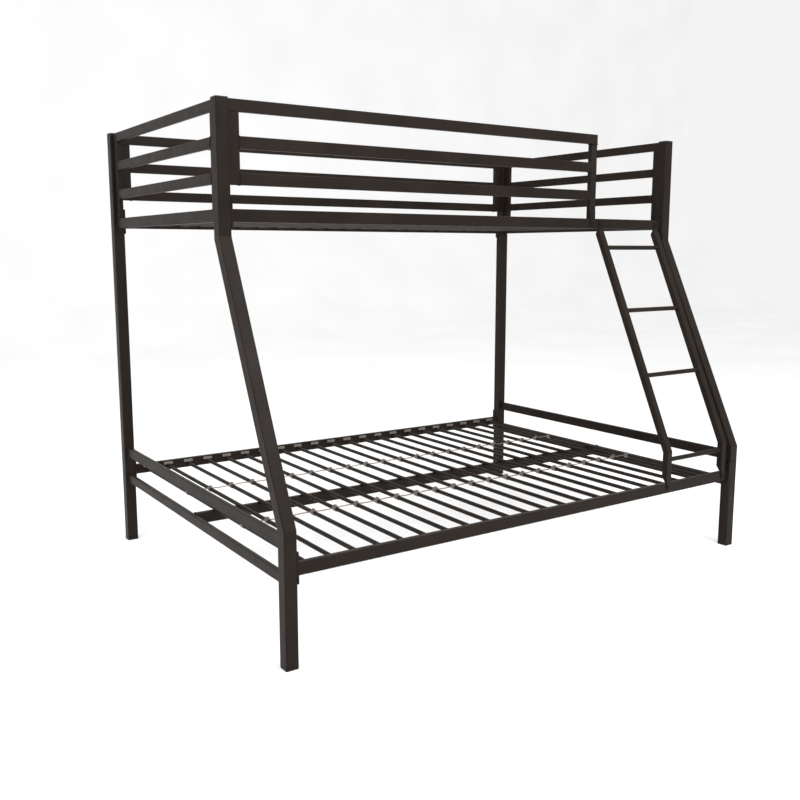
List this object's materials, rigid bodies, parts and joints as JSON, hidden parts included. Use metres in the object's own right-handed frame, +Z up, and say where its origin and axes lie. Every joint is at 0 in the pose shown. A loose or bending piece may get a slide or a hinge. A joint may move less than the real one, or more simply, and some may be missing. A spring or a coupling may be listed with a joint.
{
  "type": "metal bunk bed with ladder",
  "caption": "Square-tube steel bunk bed: a narrow upper bunk with guard rails stands set back over a wide lower bunk, with sloping front posts and a fixed ladder.",
  "frame": {"origin": "on the floor, under the middle of the bed's length and depth", "axes": "+X along the bed towards the ladder end, -Y towards the ladder side, +Z up"},
  "size_m": [1.981, 1.435, 1.6],
  "materials": {
    "powder_coated_steel": "satin powder coat, very dark warm brown",
    "zinc_plated_steel": "dull zinc plating",
    "blackened_steel": "black oxide on the bolt heads",
    "holder_plastic": "moulded grey plastic",
    "cap_plastic": "moulded black plastic, fine grain"
  },
  "bodies": {
    "root": {"rear_left_post": "powder_coated_steel", "rear_right_post": "powder_coated_steel", "front_left_post": "powder_coated_steel", "front_right_post": "powder_coated_steel", "left_low_end_rail": "powder_coated_steel", "left_high_end_rail": "powder_coated_steel", "right_low_end_rail": "powder_coated_steel", "right_high_end_rail": "powder_coated_steel", "left_deck_end_rail": "powder_coated_steel", "right_deck_end_rail": "powder_coated_steel", "left_guard_rail_low": "powder_coated_steel", "left_guard_rail_mid": "powder_coated_steel", "left_guard_rail_top": "powder_coated_steel", "left_guard_uprights": "powder_coated_steel", "right_guard_rail_low": "powder_coated_steel", "right_guard_rail_mid": "powder_coated_steel", "right_guard_rail_top": "powder_coated_steel", "right_guard_uprights": "powder_coated_steel", "front_guard_rail_low": "powder_coated_steel", "front_guard_rail_mid": "powder_coated_steel", "front_guard_rail_top": "powder_coated_steel", "front_guard_left_upright": "powder_coated_steel", "front_guard_right_upright": "powder_coated_steel", "rear_guard_rail_low": "powder_coated_steel", "rear_guard_rail_mid": "powder_coated_steel", "rear_guard_rail_top": "powder_coated_steel", "rear_guard_left_upright": "powder_coated_steel", "rear_guard_right_upright": "powder_coated_steel", "front_deck_rail": "powder_coated_steel", "rear_deck_rail": "powder_coated_steel", "front_side_rail": "powder_coated_steel", "rear_side_rail": "powder_coated_steel", "joint_plates": "powder_coated_steel", "joint_bolts": "blackened_steel", "centre_beam": "powder_coated_steel", "lower_slats": "powder_coated_steel", "upper_slats": "powder_coated_steel", "slat_holders": "holder_plastic", "tie_wires": "zinc_plated_steel", "slat_clips": "zinc_plated_steel", "ladder_left_stile": "powder_coated_steel", "ladder_right_stile": "powder_coated_steel", "ladder_rung_low": "powder_coated_steel", "ladder_rung_mid": "powder_coated_steel", "ladder_rung_top": "powder_coated_steel", "ladder_foot_bar": "powder_coated_steel", "ladder_bolts": "blackened_steel", "post_caps": "cap_plastic"}
  },
  "joints": []
}
